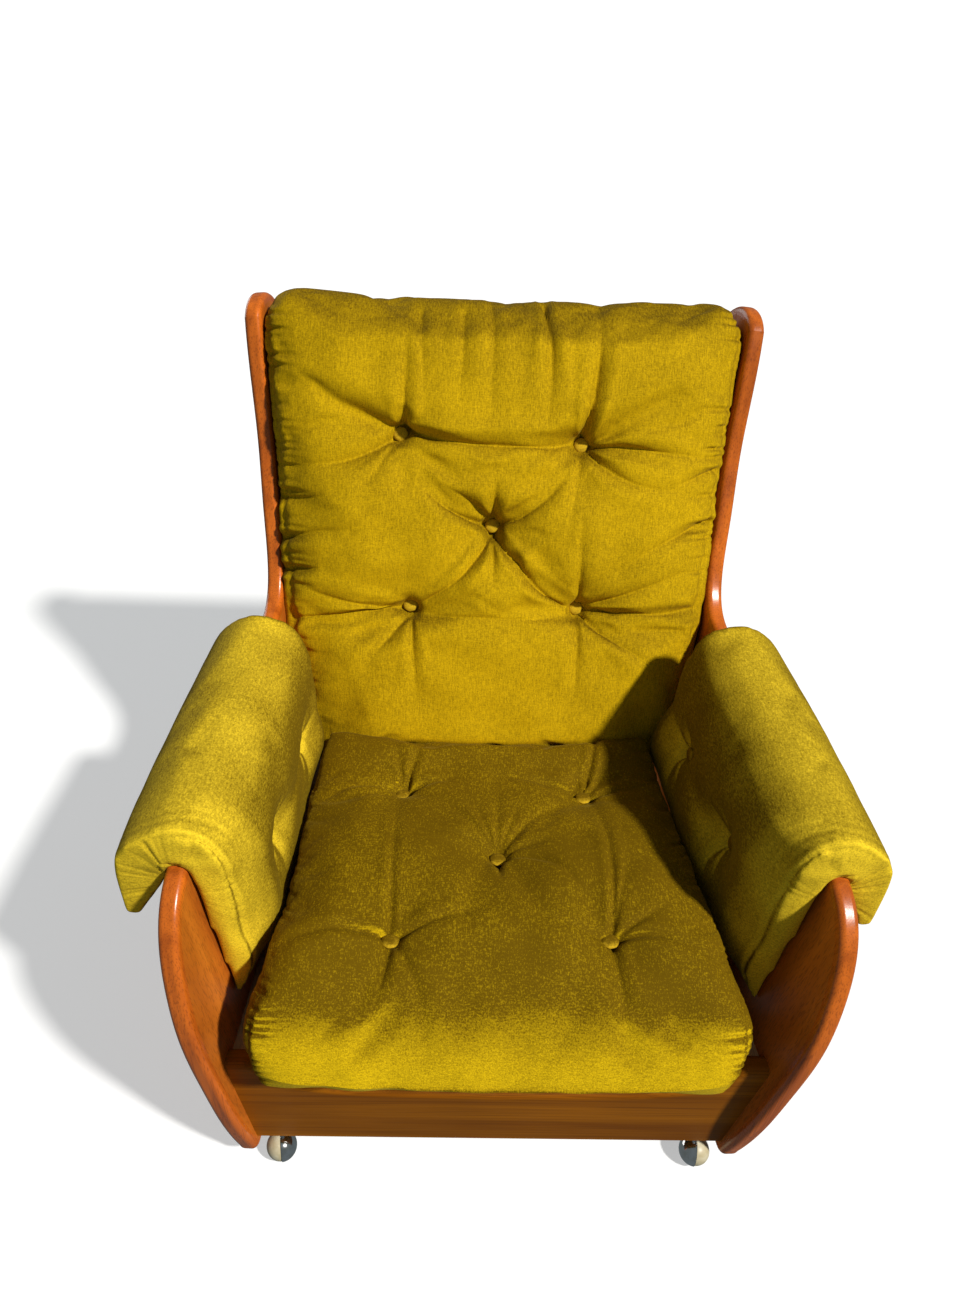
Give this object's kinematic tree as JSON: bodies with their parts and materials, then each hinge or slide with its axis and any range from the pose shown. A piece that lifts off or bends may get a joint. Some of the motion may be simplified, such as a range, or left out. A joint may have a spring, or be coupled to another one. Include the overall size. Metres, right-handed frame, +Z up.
{
  "type": "wooden armchair",
  "caption": "Low armchair with shaped wooden side panels, loose velvet seat and back cushions with covered buttons, padded arm saddles and ball castors.",
  "frame": {"origin": "middle of the chair's bounding box on the floor plane, under the castor balls", "axes": "+Z up, front of the chair towards -Y, +X to the right as seen from the front"},
  "size_m": [0.8564, 0.8986, 0.903],
  "materials": {
    "teak_veneer": "satin lacquer",
    "teak_lipping": "satin lacquer",
    "teak_rail": "satin lacquer",
    "stained_rail": "matt stain",
    "beech": "bare",
    "webbing": "matt, fabric faced",
    "clip_steel": "zinc plated",
    "screw_steel": "plated",
    "castor_chrome": "polished",
    "castor_wheel": "worn cream",
    "velvet": "cut velvet",
    "button_velvet": "cut velvet"
  },
  "bodies": {
    "frame": {"back_lower_rail": "stained_rail", "back_top_rail": "stained_rail", "back_webbing": "webbing", "corner_block_screws": "screw_steel", "corner_blocks": "beech", "front_left_castor_plate": "castor_chrome", "front_rail": "teak_rail", "front_right_castor_plate": "castor_chrome", "left_arm_lipping": "teak_lipping", "left_base_lipping": "teak_lipping", "left_ear_lipping": "teak_lipping", "left_front_lipping": "teak_lipping", "left_rear_lipping": "teak_lipping", "left_seat_rail": "beech", "left_side_panel": "teak_veneer", "rear_left_castor_plate": "castor_chrome", "rear_rail": "stained_rail", "rear_right_castor_plate": "castor_chrome", "right_arm_lipping": "teak_lipping", "right_base_lipping": "teak_lipping", "right_ear_lipping": "teak_lipping", "right_front_lipping": "teak_lipping", "right_rear_lipping": "teak_lipping", "right_seat_rail": "beech", "right_side_panel": "teak_veneer", "seat_webbing": "webbing", "seat_webbing_clips": "clip_steel"},
    "back_cushion_body": {"back_buttons": "button_velvet", "back_cushion": "velvet"},
    "front_left_castor_swivel": {"front_left_castor_axle": "castor_chrome", "front_left_castor_hood": "castor_chrome"},
    "front_left_castor_roller": {"front_left_castor_wheel": "castor_wheel"},
    "front_right_castor_swivel": {"front_right_castor_axle": "castor_chrome", "front_right_castor_hood": "castor_chrome"},
    "front_right_castor_roller": {"front_right_castor_wheel": "castor_wheel"},
    "left_saddle_body": {"left_arm_buttons": "button_velvet", "left_arm_saddle": "velvet"},
    "rear_left_castor_swivel": {"rear_left_castor_axle": "castor_chrome", "rear_left_castor_hood": "castor_chrome"},
    "rear_left_castor_roller": {"rear_left_castor_wheel": "castor_wheel"},
    "rear_right_castor_swivel": {"rear_right_castor_axle": "castor_chrome", "rear_right_castor_hood": "castor_chrome"},
    "rear_right_castor_roller": {"rear_right_castor_wheel": "castor_wheel"},
    "right_saddle_body": {"right_arm_buttons": "button_velvet", "right_arm_saddle": "velvet"},
    "seat_cushion_body": {"seat_buttons": "button_velvet", "seat_cushion": "velvet"}
  },
  "joints": [
    {"name": "front_right_castor_swivel_turn", "type": "hinge", "parent": "frame", "child": "front_right_castor_swivel", "pos_m": [0.2835, -0.38972, 0.05], "axis": [0, 0, 1], "continuous": true},
    {"name": "front_right_castor_roller_spin", "type": "hinge", "parent": "front_right_castor_swivel", "child": "front_right_castor_roller", "pos_m": [0.28211, -0.39962, 0.02], "axis": [0.9903, -0.1392, 0], "continuous": true},
    {"name": "front_left_castor_swivel_turn", "type": "hinge", "parent": "frame", "child": "front_left_castor_swivel", "pos_m": [-0.2835, -0.38972, 0.05], "axis": [0, 0, 1], "continuous": true},
    {"name": "front_left_castor_roller_spin", "type": "hinge", "parent": "front_left_castor_swivel", "child": "front_left_castor_roller", "pos_m": [-0.28211, -0.39962, 0.02], "axis": [-0.9903, -0.1392, 0], "continuous": true},
    {"name": "rear_right_castor_swivel_turn", "type": "hinge", "parent": "frame", "child": "rear_right_castor_swivel", "pos_m": [0.225, 0.22228, 0.05], "axis": [0, 0, 1], "continuous": true},
    {"name": "rear_right_castor_roller_spin", "type": "hinge", "parent": "rear_right_castor_swivel", "child": "rear_right_castor_roller", "pos_m": [0.22361, 0.21238, 0.02], "axis": [0.9903, -0.1392, 0], "continuous": true},
    {"name": "rear_left_castor_swivel_turn", "type": "hinge", "parent": "frame", "child": "rear_left_castor_swivel", "pos_m": [-0.225, 0.22228, 0.05], "axis": [0, 0, 1], "continuous": true},
    {"name": "rear_left_castor_roller_spin", "type": "hinge", "parent": "rear_left_castor_swivel", "child": "rear_left_castor_roller", "pos_m": [-0.22361, 0.21238, 0.02], "axis": [-0.9903, -0.1392, 0], "continuous": true},
    {"name": "seat_cushion_lift", "type": "slide", "parent": "frame", "child": "seat_cushion_body", "axis": [0, 0, 1], "range_m": [0, 0.4]},
    {"name": "back_cushion_lift", "type": "slide", "parent": "frame", "child": "back_cushion_body", "axis": [0, 0.4115, 0.9114], "range_m": [0, 0.66]},
    {"name": "right_saddle_lift", "type": "slide", "parent": "frame", "child": "right_saddle_body", "axis": [0.114, 0.0102, 0.9934], "range_m": [0, 0.32]},
    {"name": "left_saddle_lift", "type": "slide", "parent": "frame", "child": "left_saddle_body", "axis": [-0.114, 0.0102, 0.9934], "range_m": [0, 0.32]}
  ]
}
